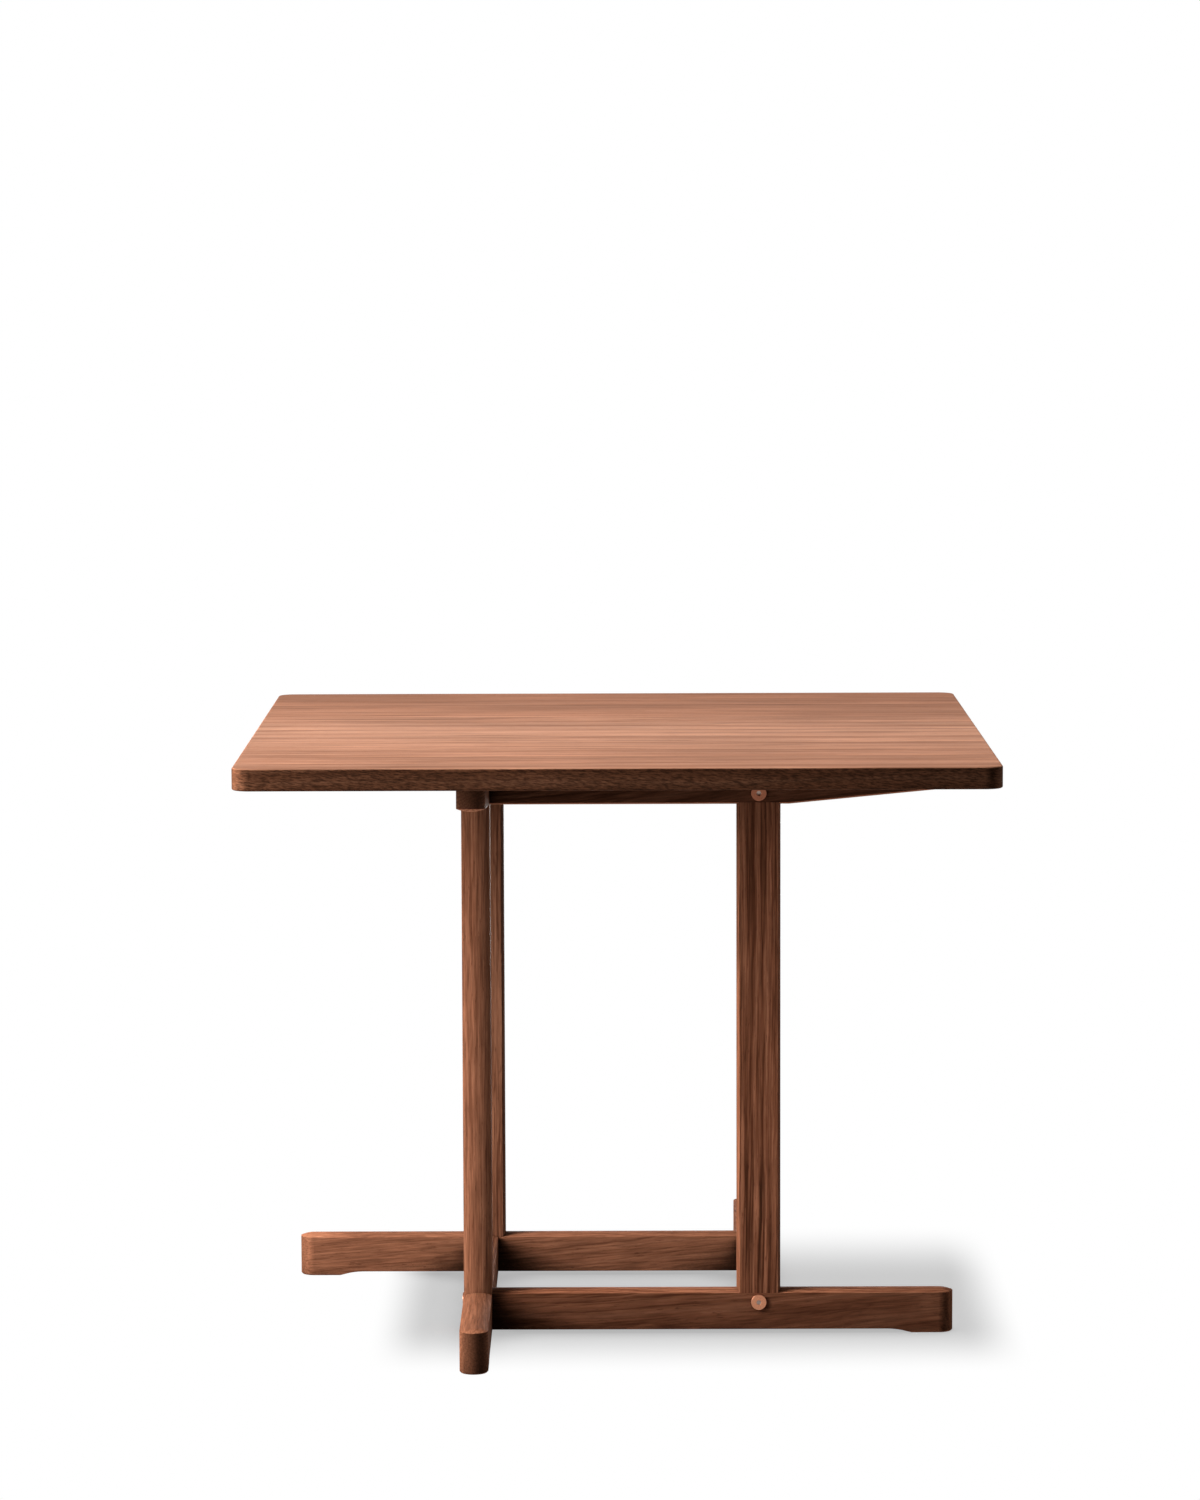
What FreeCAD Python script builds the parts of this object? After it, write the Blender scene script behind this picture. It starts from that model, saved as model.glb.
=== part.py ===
"""Square dining table: a solid stave-built top on a pinwheel base of four bolted frames.

Each frame is a runner on the floor, a post and a bearer under the top. The inner end of every frame
butts on the flat side of the next one, where two bolts hold it. Millimetres, +Z up, with the origin
on the floor under the middle of the top; the front frame runs along +X.
"""
import FreeCAD, Part
import Sketcher
import math
import os

# Driving sizes, in millimetres: name, value, what it is
DRIVING_SIZES = [
    ("top_side", "852", "side of the square top"),
    ("top_thickness", "25", "thickness of the top"),
    ("table_height", "689", "floor to upper face of the top"),
    ("top_corner_radius", "20", "rounded corners of the top in plan"),
    ("top_arris_radius", "2", "eased edges of the top"),
    ("front_stave_width", "47", "the narrow stave along the front edge"),
    ("post_offset", "163", "centre of the table to the centreline of a frame"),
    ("post_width", "51", "post, along its frame"),
    ("bar_thickness", "32.5", "all bars, flat side to flat side"),
    ("crown_radius", "42", "crown on the narrow faces of all bars"),
    ("runner_height", "50.5", "floor to the crown of a runner"),
    ("runner_setback", "37", "edge of the top to the tip of a runner"),
    ("foot_relief", "4.8", "underside of a runner lifted off the floor"),
    ("foot_pad_length", "48.5", "tip of a runner to the end of its foot pad"),
    ("relief_cutter_radius", "85", "round end of the relief"),
    ("foot_chamfer", "1.5", "eased edge round the foot pad"),
    ("bearer_depth", "46", "underside of the top to the crown of a bearer"),
    ("bearer_setback", "37", "edge of the top to the tip of a bearer"),
    ("bearer_tip_depth", "29.5", "depth of a bearer where its round end starts"),
    ("taper_gap", "10", "post to the start of a bearer's taper"),
    ("tenon_width", "34", "post tenons, along the frame"),
    ("tenon_thickness", "12", "post tenons, across the frame"),
    ("tenon_length", "28", "crown to the end of a tenon"),
    ("mortise_end_gap", "1", "room for glue under a tenon"),
    ("fit_clearance", "0.1", "gap all round tenons, nuts and screws"),
    ("bolt_inset", "14", "crown to the axis of a bolt"),
    ("bolt_diameter", "8", "shank of a bolt"),
    ("bolt_clearance", "0.3", "gap all round a bolt in the wood"),
    ("bolt_head_diameter", "18", "flat round head of a bolt"),
    ("bolt_head_height", "2", "head of a bolt, proud of the wood"),
    ("bolt_rim_chamfer", "0.6", "eased rim of a bolt head"),
    ("bolt_tail", "8", "bolt past the axis of its nut"),
    ("bolt_end_gap", "2", "hole past the end of a bolt"),
    ("socket_width", "5", "hexagon socket, across its flats"),
    ("socket_depth", "3.5", "hexagon socket, depth"),
    ("nut_diameter", "12", "barrel nut"),
    ("nut_length", "18", "barrel nut"),
    ("nut_setback", "30", "inner end of a bar to its nut"),
    ("outer_screw_setback", "89", "tip of a bearer to its outer top screw"),
    ("inner_screw_reach", "20", "centre of the table to an inner top screw, along its frame"),
    ("screw_seat", "14", "wood between a screw head and the top"),
    ("screw_diameter", "4.5", "top screw"),
    ("screw_length", "30", "top screw, under its head"),
    ("screw_tip_length", "4", "point of a top screw"),
    ("screw_head_diameter", "9", "top screw"),
    ("screw_head_height", "3", "top screw"),
    ("screw_head_clearance", "0.5", "gap all round a screw head"),
    ("screw_end_gap", "1", "pilot hole past the end of a screw"),
    ("cut_overrun", "2", "how far every cut runs past the face it opens"),
]
STAVE_COUNT = 12
BOLT_COUNT = 4
QUARTER_TURN = 90
HALF_TURN = 180
FULL_TURN = 360
NO_CUT_SHARE = 0.999999

# Frames in order round the table: name, side of the centre that the post is on, turn about Z
FRAMES = [
    ("front", 1, -1, 0),
    ("left", -1, -1, -QUARTER_TURN),
    ("back", -1, 1, HALF_TURN),
    ("right", 1, 1, QUARTER_TURN),
]

doc = FreeCAD.newDocument("square_dining_table")
sheet = doc.addObject("Spreadsheet::Sheet", "Sizes")
for row, (alias, number, meaning) in enumerate(DRIVING_SIZES, start=1):
    sheet.set(f"A{row}", meaning)
    sheet.set(f"B{row}", number)
    sheet.setAlias(f"B{row}", alias)
doc.recompute()

# Sizes worked out from the driving ones, as sheet expressions
HALF_BAR = "(Sizes.bar_thickness / 2)"
CUT_HALF_BAR = "(Sizes.bar_thickness / 2 + Sizes.cut_overrun)"
CROWN_RISE = f"(Sizes.crown_radius - sqrt(Sizes.crown_radius ^ 2 - {HALF_BAR} ^ 2))"
CUT_CROWN_RISE = f"(Sizes.crown_radius - sqrt(Sizes.crown_radius ^ 2 - {CUT_HALF_BAR} ^ 2))"
TOP_UNDERSIDE = "(Sizes.table_height - Sizes.top_thickness)"
BEARER_CROWN = f"({TOP_UNDERSIDE} - Sizes.bearer_depth)"
RUNNER_REACH = "(Sizes.top_side / 2 - Sizes.runner_setback)"
BEARER_REACH = "(Sizes.top_side / 2 - Sizes.bearer_setback)"
OUTER_SCREW_REACH = f"({BEARER_REACH} - Sizes.outer_screw_setback)"
SCREW_REACHES = [("outer", OUTER_SCREW_REACH), ("inner", "Sizes.inner_screw_reach")]
INNER_END = f"-(2 * Sizes.post_offset - {HALF_BAR})"
NUT_PLACE = f"({INNER_END} + Sizes.nut_setback)"
BOLT_REACH_PAST_JOINT = "(Sizes.nut_setback + Sizes.bolt_tail)"
BOLT_HOLE_RADIUS = "(Sizes.bolt_diameter / 2 + Sizes.bolt_clearance)"
NUT_HOLE_RADIUS = "(Sizes.nut_diameter / 2 + Sizes.fit_clearance)"
SCREW_HOLE_RADIUS = "(Sizes.screw_diameter / 2 + Sizes.fit_clearance)"
SCREW_IN_TOP = "(Sizes.screw_length - Sizes.screw_seat + Sizes.screw_end_gap)"
LOWER_BOLT_HEIGHT = "(Sizes.runner_height - Sizes.bolt_inset)"
UPPER_BOLT_HEIGHT = f"({BEARER_CROWN} + Sizes.bolt_inset)"
FRAME_FACE = f"(Sizes.post_offset + {HALF_BAR})"
JOINT_FACE = f"(Sizes.post_offset - {HALF_BAR})"

sub_parts = []


def value(expression):
    """Number that a sheet expression gives now."""
    return float(sheet.evalExpression(expression))


def new_body(name):
    """Body of one sub-part; its label names its file."""
    body = doc.addObject("PartDesign::Body", name)
    body.Label = name
    return body


def origin_feature(body, role):
    """One of a body's own origin planes or axes."""
    return next(item for item in body.Origin.OriginFeatures if item.Role == role)


def new_sketch(body, name, plane, shift=("0", "0", "0"), tilt=None, tilt_axis=(0, 0, 1)):
    """Sketch on an origin plane, moved by expressions in the plane's own axes and tilted if asked."""
    sketch = body.newObject("Sketcher::SketchObject", f"{body.Name}_{name}_sketch")
    sketch.AttachmentSupport = [(origin_feature(body, plane), "")]
    sketch.MapMode = "FlatFace"
    if tilt:
        turn = FreeCAD.Rotation(FreeCAD.Vector(*tilt_axis), value(tilt))
        sketch.AttachmentOffset = FreeCAD.Placement(FreeCAD.Vector(), turn)
        sketch.setExpression("AttachmentOffset.Rotation.Angle", tilt)
    for axis, expression in zip("xyz", shift):
        if expression != "0":
            sketch.setExpression(f"AttachmentOffset.Base.{axis}", expression)
    return sketch


def bind(sketch, kind, places, expression):
    """Constrain a sketch by a size from the sheet."""
    index = sketch.addConstraint(Sketcher.Constraint(kind, *places, value(expression)))
    sketch.setExpression(f"Constraints[{index}]", expression)


def bind_point(sketch, geometry, point, x, y):
    """Hold a point of a sketch at a place given by two expressions."""
    for kind, own_axis, expression in (("DistanceX", -2, x), ("DistanceY", -1, y)):
        if expression == "0":
            sketch.addConstraint(Sketcher.Constraint("PointOnObject", geometry, point, own_axis))
        else:
            bind(sketch, kind, (-1, 1, geometry, point), expression)


def round_side(start, end, radius):
    """Arc of less than a half circle between two corners; a minus radius makes it hollow."""
    chord = end - start
    inward = FreeCAD.Vector(-chord.y, chord.x, 0)
    inward.normalize()
    distance = math.sqrt(radius ** 2 - (chord.Length / 2) ** 2)
    centre = (start + end) / 2 + inward * math.copysign(distance, radius)
    first, last = (start, end) if radius > 0 else (end, start)
    angles = [math.atan2(point.y - centre.y, point.x - centre.x) for point in (first, last)]
    return Part.ArcOfCircle(Part.Circle(centre, FreeCAD.Vector(0, 0, 1), abs(radius)), *angles)


def outline(sketch, corners, arcs=None):
    """Closed outline, anticlockwise, through corners given as pairs of expressions.

    arcs maps the number of a round side to the expression of its radius, or to that with a minus
    in front where the side is hollow.
    """
    arcs = arcs or {}
    points = [FreeCAD.Vector(value(x), value(y), 0) for x, y in corners]
    starts = []
    ends = []
    for side, start in enumerate(points):
        end = points[(side + 1) % len(points)]
        hollow = side in arcs and arcs[side].startswith("-")
        starts.append(2 if hollow else 1)
        ends.append(1 if hollow else 2)
        if side in arcs:
            sketch.addGeometry(round_side(start, end, value(arcs[side])))
        else:
            sketch.addGeometry(Part.LineSegment(start, end))
    for side, (x, y) in enumerate(corners):
        before = (side - 1) % len(corners)
        joined = (before, ends[before], side, starts[side])
        sketch.addConstraint(Sketcher.Constraint("Coincident", *joined))
        bind_point(sketch, side, starts[side], x, y)
    for side, radius in arcs.items():
        bind(sketch, "Radius", (side,), radius.lstrip("-"))
    return sketch


def circle(sketch, x, y, radius):
    """Circle about a place given by expressions."""
    centre = FreeCAD.Vector(value(x), value(y), 0)
    index = sketch.addGeometry(Part.Circle(centre, FreeCAD.Vector(0, 0, 1), value(radius)))
    bind_point(sketch, index, 3, x, y)
    bind(sketch, "Radius", (index,), radius)
    return sketch


def rectangle(sketch, length, width):
    """Rectangle about the sketch's origin."""
    right = f"({length} / 2)"
    upper = f"({width} / 2)"
    corners = [(right, f"-{upper}"), (right, upper), (f"-{right}", upper), (f"-{right}", f"-{upper}")]
    return outline(sketch, corners)


def pad(body, name, sketch, length):
    """Add a sketch's area, drawn out along the sketch's normal."""
    feature = body.newObject("PartDesign::Pad", f"{body.Name}_{name}")
    feature.Profile = sketch
    feature.setExpression("Length", length)
    return feature


def pocket(body, name, sketch, depth=None, reverse=False):
    """Cut a sketch's area against its normal to a depth, or right through; reverse turns it round."""
    feature = body.newObject("PartDesign::Pocket", f"{body.Name}_{name}")
    feature.Profile = sketch
    feature.Reversed = reverse
    if depth:
        feature.setExpression("Length", depth)
    else:
        feature.Type = "ThroughAll"
    return feature


def cut_across(body, name, sketch):
    """Cut a sketch's area right through on both sides of its plane."""
    feature = pocket(body, name, sketch)
    feature.SideType = "Two sides"
    feature.Type2 = "ThroughAll"
    return feature


def turned(body, name, sketch, axis):
    """Add a sketch's area turned all the way round one of the sketch's own axes."""
    feature = body.newObject("PartDesign::Revolution", f"{body.Name}_{name}")
    feature.Profile = sketch
    feature.ReferenceAxis = (sketch, [axis])
    feature.Angle = FULL_TURN
    return feature


def repeat_round_table(body, features):
    """Repeat features at the four corners of the base."""
    pattern = body.newObject("PartDesign::PolarPattern", f"{body.Name}_pattern")
    pattern.Originals = features
    pattern.Axis = (origin_feature(body, "Z_Axis"), [""])
    pattern.Angle = FULL_TURN
    pattern.Occurrences = BOLT_COUNT
    body.Tip = pattern
    return pattern


def edge_names(shape, wanted):
    """Names of the edges of a shape that a test picks out."""
    return [f"Edge{number}" for number, edge in enumerate(shape.Edges, start=1) if wanted(edge)]


def fillet(body, name, base, wanted, radius):
    """Round the edges of a feature that a test picks out."""
    doc.recompute()
    feature = body.newObject("PartDesign::Fillet", f"{body.Name}_{name}")
    feature.Base = (base, edge_names(base.Shape, wanted))
    feature.setExpression("Radius", radius)
    return feature


def chamfer(body, name, base, wanted, size):
    """Bevel the edges of a feature that a test picks out."""
    doc.recompute()
    feature = body.newObject("PartDesign::Chamfer", f"{body.Name}_{name}")
    feature.Base = (base, edge_names(base.Shape, wanted))
    feature.setExpression("Size", size)
    return feature


def at_height(height):
    """Test for edges that lie flat at a height."""
    def test(edge):
        box = edge.BoundBox
        return max(abs(box.ZMin - height), abs(box.ZMax - height)) < value("Sizes.fit_clearance")
    return test


def is_upright(edge):
    """Test for straight edges along Z."""
    return edge.BoundBox.ZLength > max(edge.BoundBox.XLength, edge.BoundBox.YLength)


def stand_in_frame(body, side_x, side_y, turn, height=None):
    """Set a body, drawn about its post's axis, into its frame; height also turns it upside down."""
    rotation = FreeCAD.Rotation(FreeCAD.Vector(0, 0, 1), turn)
    if height:
        rotation = rotation * FreeCAD.Rotation(FreeCAD.Vector(1, 0, 0), HALF_TURN)
    body.Placement = FreeCAD.Placement(FreeCAD.Vector(), rotation)
    body.setExpression("Placement.Base.x", f"{side_x} * Sizes.post_offset")
    body.setExpression("Placement.Base.y", f"{side_y} * Sizes.post_offset")
    if height:
        body.setExpression("Placement.Base.z", height)


# Bars: runners and bearers are the same bar, drawn crown up about the axis of the post


def bar_blank(body, height, reach):
    """Bar with flat sides, a square inner end and a half-round outer end."""
    round_start = f"({reach} - Sizes.post_offset - {HALF_BAR})"
    tip = f"({reach} - Sizes.post_offset)"
    corners = [
        (INNER_END, f"-{HALF_BAR}"),
        (round_start, f"-{HALF_BAR}"),
        (tip, "0"),
        (round_start, HALF_BAR),
        (INNER_END, HALF_BAR),
    ]
    plan = outline(new_sketch(body, "plan", "XY_Plane"), corners, {1: HALF_BAR, 2: HALF_BAR})
    return pad(body, "blank", plan, height)


def crown(body, name, place, apex, waste, tilt=None):
    """Cut the crown of a bar from a place along it back to its inner end."""
    section = new_sketch(body, name, "YZ_Plane", ("0", apex, place), tilt, (1, 0, 0))
    corners = [
        (CUT_HALF_BAR, f"-{CUT_CROWN_RISE}"),
        (CUT_HALF_BAR, waste),
        (f"-{CUT_HALF_BAR}", waste),
        (f"-{CUT_HALF_BAR}", f"-{CUT_CROWN_RISE}"),
    ]
    outline(section, corners, {3: "-Sizes.crown_radius"})
    return pocket(body, name, section)


def domed_end(body, place, apex, waste, tilt=None):
    """Carry the crown round the half-round end of a bar."""
    back_tilt = f"-{tilt}" if tilt else None
    section = new_sketch(body, "dome", "XZ_Plane", (place, apex, "0"), back_tilt)
    corners = [
        ("0", "0"),
        (CUT_HALF_BAR, f"-{CUT_CROWN_RISE}"),
        (CUT_HALF_BAR, waste),
        ("0", waste),
    ]
    outline(section, corners, {0: "-Sizes.crown_radius"})
    groove = body.newObject("PartDesign::Groove", f"{body.Name}_dome")
    groove.Profile = section
    groove.ReferenceAxis = (section, ["V_Axis"])
    groove.Angle = HALF_TURN
    groove.Midplane = True
    return groove


def joinery(body, height):
    """Mortise for the post, and the holes for bolts and nut, in a bar of a given height."""
    bolt_level = f"({height} - Sizes.bolt_inset)"
    mortise = new_sketch(body, "mortise", "XY_Plane", ("0", "0", height))
    rectangle(
        mortise,
        "(Sizes.tenon_width + 2 * Sizes.fit_clearance)",
        "(Sizes.tenon_thickness + 2 * Sizes.fit_clearance)",
    )
    pocket(body, "mortise", mortise, "Sizes.tenon_length + Sizes.mortise_end_gap")
    cross_hole = circle(new_sketch(body, "cross_hole", "XZ_Plane"), "0", bolt_level, BOLT_HOLE_RADIUS)
    cut_across(body, "cross_hole", cross_hole)
    end_hole = new_sketch(body, "end_hole", "YZ_Plane", ("0", "0", INNER_END))
    circle(end_hole, "0", bolt_level, BOLT_HOLE_RADIUS)
    pocket(body, "end_hole", end_hole, f"{BOLT_REACH_PAST_JOINT} + Sizes.bolt_end_gap", reverse=True)
    nut_hole = circle(new_sketch(body, "nut_hole", "XY_Plane"), NUT_PLACE, "0", NUT_HOLE_RADIUS)
    nut_depth = f"{bolt_level} + Sizes.nut_length / 2 + Sizes.fit_clearance"
    pocket(body, "nut_hole", nut_hole, nut_depth, reverse=True)


def foot_relief(body):
    """Lift the underside of a runner off the floor behind its foot pad."""
    cutter = "Sizes.relief_cutter_radius"
    pad_end = f"({RUNNER_REACH} - Sizes.post_offset - Sizes.foot_pad_length)"
    run_out = f"sqrt(2 * {cutter} * Sizes.foot_relief - Sizes.foot_relief ^ 2)"
    past_inner_end = f"({INNER_END} - Sizes.cut_overrun)"
    corners = [
        (past_inner_end, "-Sizes.cut_overrun"),
        (pad_end, "-Sizes.cut_overrun"),
        (pad_end, "0"),
        (f"({pad_end} - {run_out})", "Sizes.foot_relief"),
        (past_inner_end, "Sizes.foot_relief"),
    ]
    side_view = outline(new_sketch(body, "relief", "XZ_Plane"), corners, {2: cutter})
    return cut_across(body, "relief", side_view)


def screw_holes(body):
    """Stepped holes through a bearer for the screws that hold the top."""
    for name, reach in SCREW_REACHES:
        place = f"({reach} - Sizes.post_offset)"
        shank = circle(new_sketch(body, f"{name}_shank", "XY_Plane"), place, "0", SCREW_HOLE_RADIUS)
        pocket(body, f"{name}_shank", shank, reverse=True)
        seat = new_sketch(body, f"{name}_seat", "XY_Plane", ("0", "0", "Sizes.screw_seat"))
        circle(seat, place, "0", "(Sizes.screw_head_diameter / 2 + Sizes.screw_head_clearance)")
        pocket(body, f"{name}_seat", seat, reverse=True)


def make_runner(frame, side_x, side_y, turn):
    """Runner: crowned above, domed at its tip, relieved below behind the foot pad."""
    body = new_body(f"{frame}_runner")
    dome_place = f"({RUNNER_REACH} - Sizes.post_offset - {HALF_BAR})"
    blank = bar_blank(body, "Sizes.runner_height", RUNNER_REACH)
    chamfer(body, "foot_edge", blank, at_height(0), "Sizes.foot_chamfer")
    foot_relief(body)
    crown(body, "crown", dome_place, "Sizes.runner_height", "Sizes.cut_overrun")
    domed_end(body, dome_place, "Sizes.runner_height", "Sizes.cut_overrun")
    joinery(body, "Sizes.runner_height")
    stand_in_frame(body, side_x, side_y, turn)
    return body


def make_bearer(frame, side_x, side_y, turn):
    """Bearer: flat above, crowned below, tapered from its post to a domed tip; drawn upside down."""
    body = new_body(f"{frame}_bearer")
    taper_start = "(Sizes.post_width / 2 + Sizes.taper_gap)"
    dome_place = f"({BEARER_REACH} - Sizes.post_offset - {HALF_BAR})"
    drop = "(Sizes.bearer_depth - Sizes.bearer_tip_depth)"
    taper = f"atan({drop} / ({dome_place} - {taper_start}))"
    waste = f"({drop} + 2 * Sizes.cut_overrun)"
    bar_blank(body, "Sizes.bearer_depth", BEARER_REACH)
    past_taper_start = f"({taper_start} + Sizes.cut_overrun)"
    crown(body, "crown", past_taper_start, "Sizes.bearer_depth", "Sizes.cut_overrun")
    crown(body, "taper", dome_place, "Sizes.bearer_tip_depth", waste, taper)
    domed_end(body, dome_place, "Sizes.bearer_tip_depth", waste, taper)
    joinery(body, "Sizes.bearer_depth")
    screw_holes(body)
    stand_in_frame(body, side_x, side_y, turn, TOP_UNDERSIDE)
    return body


# Posts: crowned on both narrow faces, ends coped over the crowns of runner and bearer


def cope(body, name, crown_level, away):
    """Hollow an end of a post over the crown of a bar; away is the side that the bar lies on."""
    edge_level = f"({crown_level} {away} {CUT_CROWN_RISE})"
    far_level = f"({crown_level} {away} ({CROWN_RISE} + 2 * Sizes.cut_overrun))"
    right = CUT_HALF_BAR
    left = f"-{CUT_HALF_BAR}"
    corners = [(left, far_level), (right, far_level), (right, edge_level), (left, edge_level)]
    if away == "+":
        corners = [(right, far_level), (left, far_level), (left, edge_level), (right, edge_level)]
    section = outline(new_sketch(body, name, "YZ_Plane"), corners, {2: "Sizes.crown_radius"})
    return cut_across(body, name, section)


def tenon(body, name, start, length):
    """Tenon, rooted in the post."""
    section = new_sketch(body, name, "XY_Plane", ("0", "0", start))
    rectangle(section, "Sizes.tenon_width", "Sizes.tenon_thickness")
    return pad(body, name, section, length)


def make_post(frame, side_x, side_y, turn):
    """Post with a tenon at each end and the holes for the bolts that pass through the tenons."""
    body = new_body(f"{frame}_post")
    foot = f"(Sizes.runner_height - {CROWN_RISE} - Sizes.cut_overrun)"
    head = f"({BEARER_CROWN} + {CROWN_RISE} + Sizes.cut_overrun)"
    flat_end = f"(Sizes.post_width / 2 - {CROWN_RISE})"
    corners = [
        (flat_end, f"-{HALF_BAR}"),
        (flat_end, HALF_BAR),
        (f"-{flat_end}", HALF_BAR),
        (f"-{flat_end}", f"-{HALF_BAR}"),
    ]
    section = new_sketch(body, "section", "XY_Plane", ("0", "0", foot))
    outline(section, corners, {0: "Sizes.crown_radius", 2: "Sizes.crown_radius"})
    pad(body, "blank", section, f"{head} - {foot}")
    cope(body, "foot_cope", "Sizes.runner_height", "-")
    cope(body, "head_cope", BEARER_CROWN, "+")
    root = "Sizes.tenon_length + Sizes.cut_overrun"
    tenon(body, "foot_tenon", "(Sizes.runner_height - Sizes.tenon_length)", root)
    tenon(body, "head_tenon", f"({BEARER_CROWN} - Sizes.cut_overrun)", root)
    bolt_holes = new_sketch(body, "bolt_holes", "XZ_Plane")
    circle(bolt_holes, "0", LOWER_BOLT_HEIGHT, BOLT_HOLE_RADIUS)
    circle(bolt_holes, "0", UPPER_BOLT_HEIGHT, BOLT_HOLE_RADIUS)
    cut_across(body, "bolt_holes", bolt_holes)
    stand_in_frame(body, side_x, side_y, turn)
    return body


# Fasteners: one of each kind is drawn at the front frame and repeated round the table


def make_bolts(name, height):
    """Flat-headed bolts with a hexagon socket, heads on the outer faces of the frames."""
    body = new_body(name)
    head = "Sizes.bolt_head_height"
    head_radius = "(Sizes.bolt_head_diameter / 2)"
    rim = "Sizes.bolt_rim_chamfer"
    shank = "(Sizes.bolt_diameter / 2)"
    length = f"(Sizes.bar_thickness + {BOLT_REACH_PAST_JOINT})"
    profile = new_sketch(body, "profile", "YZ_Plane", (f"-{FRAME_FACE}", height, "Sizes.post_offset"))
    corners = [
        (f"-{head}", "0"),
        (length, "0"),
        (length, shank),
        ("0", shank),
        ("0", head_radius),
        (f"({rim} - {head})", head_radius),
        (f"-{head}", f"({head_radius} - {rim})"),
    ]
    bolt = turned(body, "bolt", outline(profile, corners), "H_Axis")
    head_face = f"({FRAME_FACE} + {head})"
    socket = new_sketch(body, "socket", "XZ_Plane", ("Sizes.post_offset", height, head_face))
    corner = "(Sizes.socket_width / sqrt(3))"
    half_corner = f"({corner} / 2)"
    flat = "(Sizes.socket_width / 2)"
    hexagon = [
        (corner, "0"),
        (half_corner, flat),
        (f"-{half_corner}", flat),
        (f"-{corner}", "0"),
        (f"-{half_corner}", f"-{flat}"),
        (half_corner, f"-{flat}"),
    ]
    hollow = pocket(body, "socket", outline(socket, hexagon), "Sizes.socket_depth")
    repeat_round_table(body, [bolt, hollow])
    return body


def make_nuts(name, height):
    """Upright barrel nuts in the inner ends of the bars, with a cross hole for the bolt."""
    body = new_body(name)
    base = f"({height} - Sizes.nut_length / 2)"
    place_y = f"-({JOINT_FACE} - Sizes.nut_setback)"
    plan = new_sketch(body, "plan", "XY_Plane", ("0", "0", base))
    circle(plan, "Sizes.post_offset", place_y, "(Sizes.nut_diameter / 2)")
    barrel = pad(body, "barrel", plan, "Sizes.nut_length")
    cross_hole = new_sketch(body, "cross_hole", "XZ_Plane")
    circle(cross_hole, "Sizes.post_offset", height, "(Sizes.bolt_diameter / 2 + Sizes.fit_clearance)")
    repeat_round_table(body, [barrel, cut_across(body, "cross_hole", cross_hole)])
    return body


def make_screws(name, reach):
    """Screws up through the bearers into the top."""
    body = new_body(name)
    head_radius = "(Sizes.screw_head_diameter / 2)"
    shank = "(Sizes.screw_diameter / 2)"
    head = "Sizes.screw_head_height"
    seat = f"({TOP_UNDERSIDE} - Sizes.screw_seat)"
    corners = [
        ("0", f"-{head}"),
        (head_radius, f"-{head}"),
        (head_radius, "0"),
        (shank, "0"),
        (shank, "(Sizes.screw_length - Sizes.screw_tip_length)"),
        ("0", "Sizes.screw_length"),
    ]
    profile = outline(new_sketch(body, "profile", "XZ_Plane", (reach, seat, "Sizes.post_offset")), corners)
    repeat_round_table(body, [turned(body, "screw", profile, "V_Axis")])
    return body


# Top: one panel with rounded corners, eased edges and pilot holes, parted along its glue lines


def make_panel():
    """The whole top before it is parted into its staves."""
    body = new_body("top_panel")
    half = "(Sizes.top_side / 2)"
    corners = [(f"-{half}", f"-{half}"), (half, f"-{half}"), (half, half), (f"-{half}", half)]
    plan = outline(new_sketch(body, "plan", "XY_Plane", ("0", "0", TOP_UNDERSIDE)), corners)
    blank = pad(body, "blank", plan, "Sizes.top_thickness")
    rounded = fillet(body, "corners", blank, is_upright, "Sizes.top_corner_radius")
    on_upper_face = at_height(value("Sizes.table_height"))
    on_lower_face = at_height(value(TOP_UNDERSIDE))
    fillet(
        body,
        "arrises",
        rounded,
        lambda edge: on_upper_face(edge) or on_lower_face(edge),
        "Sizes.top_arris_radius",
    )
    for name, reach in SCREW_REACHES:
        pilot = new_sketch(body, f"{name}_pilot", "XY_Plane", ("0", "0", TOP_UNDERSIDE))
        circle(pilot, reach, "-Sizes.post_offset", SCREW_HOLE_RADIUS)
        hole = pocket(body, f"{name}_pilot", pilot, SCREW_IN_TOP, reverse=True)
        pattern = repeat_round_table(body, [hole])
        pattern.Label = f"{name}_pilot_holes"
    return body


def make_stave(panel, number):
    """One stave of the top, counted from the front edge."""
    half = "(Sizes.top_side / 2)"
    other_width = f"((Sizes.top_side - Sizes.front_stave_width) / {STAVE_COUNT - 1})"
    start = f"(Sizes.front_stave_width - {half} + {number - 2} * {other_width})"
    end = f"({start} + {other_width})"
    if number == 1:
        start = f"-({half} + Sizes.cut_overrun)"
        end = f"(Sizes.front_stave_width - {half})"
    if number == STAVE_COUNT:
        end = f"({half} + Sizes.cut_overrun)"
    slice_box = doc.addObject("Part::Box", f"stave_slice_{number:02d}")
    slice_box.setExpression("Length", "Sizes.top_side + 2 * Sizes.cut_overrun")
    slice_box.setExpression("Width", f"{end} - {start}")
    slice_box.setExpression("Height", "Sizes.top_thickness + 2 * Sizes.cut_overrun")
    slice_box.setExpression("Placement.Base.x", f"-({half} + Sizes.cut_overrun)")
    slice_box.setExpression("Placement.Base.y", start)
    slice_box.setExpression("Placement.Base.z", f"{TOP_UNDERSIDE} - Sizes.cut_overrun")
    stave = doc.addObject("Part::Common", f"top_stave_{number:02d}")
    stave.Label = f"top_stave_{number:02d}"
    stave.Base = panel
    stave.Tool = slice_box
    return stave


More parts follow.
